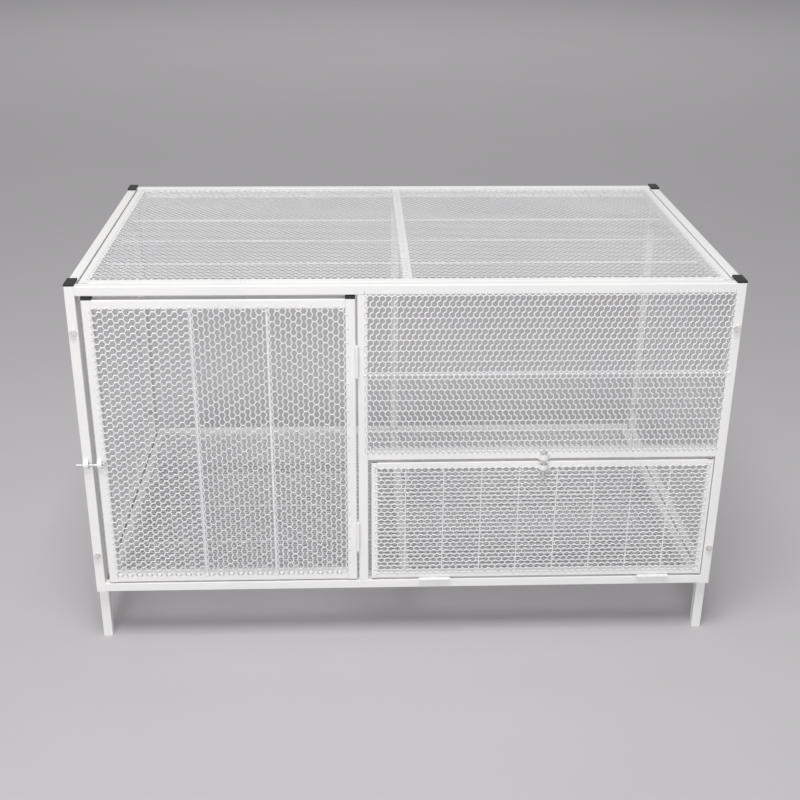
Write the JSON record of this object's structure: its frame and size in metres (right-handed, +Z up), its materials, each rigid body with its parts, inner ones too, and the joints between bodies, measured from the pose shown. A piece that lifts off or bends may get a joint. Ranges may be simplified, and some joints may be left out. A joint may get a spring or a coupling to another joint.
{
  "type": "rabbit hutch",
  "caption": "White welded-steel rabbit hutch with wire-mesh panels, a side-hung door, a drop-down flap, slide bolts and four short legs.",
  "frame": {"origin": "on the floor, midway between the four feet", "axes": "+X to the right along the front, -Y out of the front where the door and the flap are, +Z up"},
  "size_m": [1.0103, 0.6005, 0.6175],
  "materials": {
    "frame_paint": "satin white powder coat on square tube",
    "door_paint": "satin white powder coat on square tube, a little worn",
    "mesh_paint": "white coat that rounds the strands of the mesh",
    "wire_paint": "white painted round wire",
    "hinge_paint": "painted-over butt hinge",
    "strap_paint": "painted strap and weld",
    "cap_plastic": "black moulded cap",
    "fastener_steel": "zinc-plated",
    "slide_bolt_steel": "bright rod"
  },
  "bodies": {
    "frame": {"front_posts": "frame_paint", "front_top_rail": "frame_paint", "front_bottom_rail": "frame_paint", "front_mid_post": "frame_paint", "front_mid_rail": "frame_paint", "window_wire": "wire_paint", "window_mesh": "mesh_paint", "left_legs": "frame_paint", "left_top_rail": "frame_paint", "left_bottom_rail": "frame_paint", "left_mesh": "mesh_paint", "right_legs": "frame_paint", "right_top_rail": "frame_paint", "right_bottom_rail": "frame_paint", "right_mesh": "mesh_paint", "back_posts": "frame_paint", "back_top_rail": "frame_paint", "back_bottom_rail": "frame_paint", "back_centre_post": "frame_paint", "roof_side_rails": "frame_paint", "roof_front_rail": "frame_paint", "roof_back_rail": "frame_paint", "roof_centre_bar": "frame_paint", "roof_stay_wires": "wire_paint", "roof_mesh": "mesh_paint", "floor_side_rails": "frame_paint", "floor_front_rail": "frame_paint", "floor_back_rail": "frame_paint", "floor_centre_bar": "frame_paint", "floor_stay_wires": "wire_paint", "floor_mesh": "mesh_paint", "floor_mesh_strip": "mesh_paint", "panel_tacks": "strap_paint", "post_caps": "cap_plastic", "frame_bolts": "fastener_steel", "frame_nuts": "fastener_steel", "door_hinge_post_leaves": "hinge_paint", "door_hinge_pins": "hinge_paint", "door_bolt_keeper": "strap_paint", "flap_hinge_rail_leaves": "hinge_paint", "flap_hinge_pins": "hinge_paint", "flap_bolt_guide": "strap_paint"},
    "door": {"door_latch_stile": "door_paint", "door_hinge_stile": "door_paint", "door_top_rail": "door_paint", "door_bottom_rail": "door_paint", "door_wires": "wire_paint", "door_mesh": "mesh_paint", "door_caps": "cap_plastic", "door_hinge_door_leaves": "hinge_paint", "door_bolt_guide": "strap_paint"},
    "door_bolt": {"door_bolt": "slide_bolt_steel"},
    "flap": {"flap_stiles": "door_paint", "flap_top_rail": "door_paint", "flap_bottom_rail": "door_paint", "flap_wires": "wire_paint", "flap_mesh": "mesh_paint", "flap_hinge_flap_leaves": "hinge_paint", "flap_bolt_keeper": "strap_paint"},
    "flap_bolt": {"flap_bolt": "slide_bolt_steel"}
  },
  "joints": [
    {"name": "door_hinge", "type": "hinge", "parent": "frame", "child": "door", "pos_m": [-0.077, -0.297, 0.3435], "axis": [0, 0, 1], "range_deg": [0, 120]},
    {"name": "flap_hinge", "type": "hinge", "parent": "frame", "child": "flap", "pos_m": [0.214, -0.297, 0.1124], "axis": [1, 0, 0], "range_deg": [0, 115]},
    {"name": "door_bolt_slide", "type": "slide", "parent": "door", "child": "door_bolt", "axis": [1, 0, 0], "range_m": [0, 0.029]},
    {"name": "flap_bolt_slide", "type": "slide", "parent": "frame", "child": "flap_bolt", "axis": [0, 0, 1], "range_m": [0, 0.03]}
  ]
}
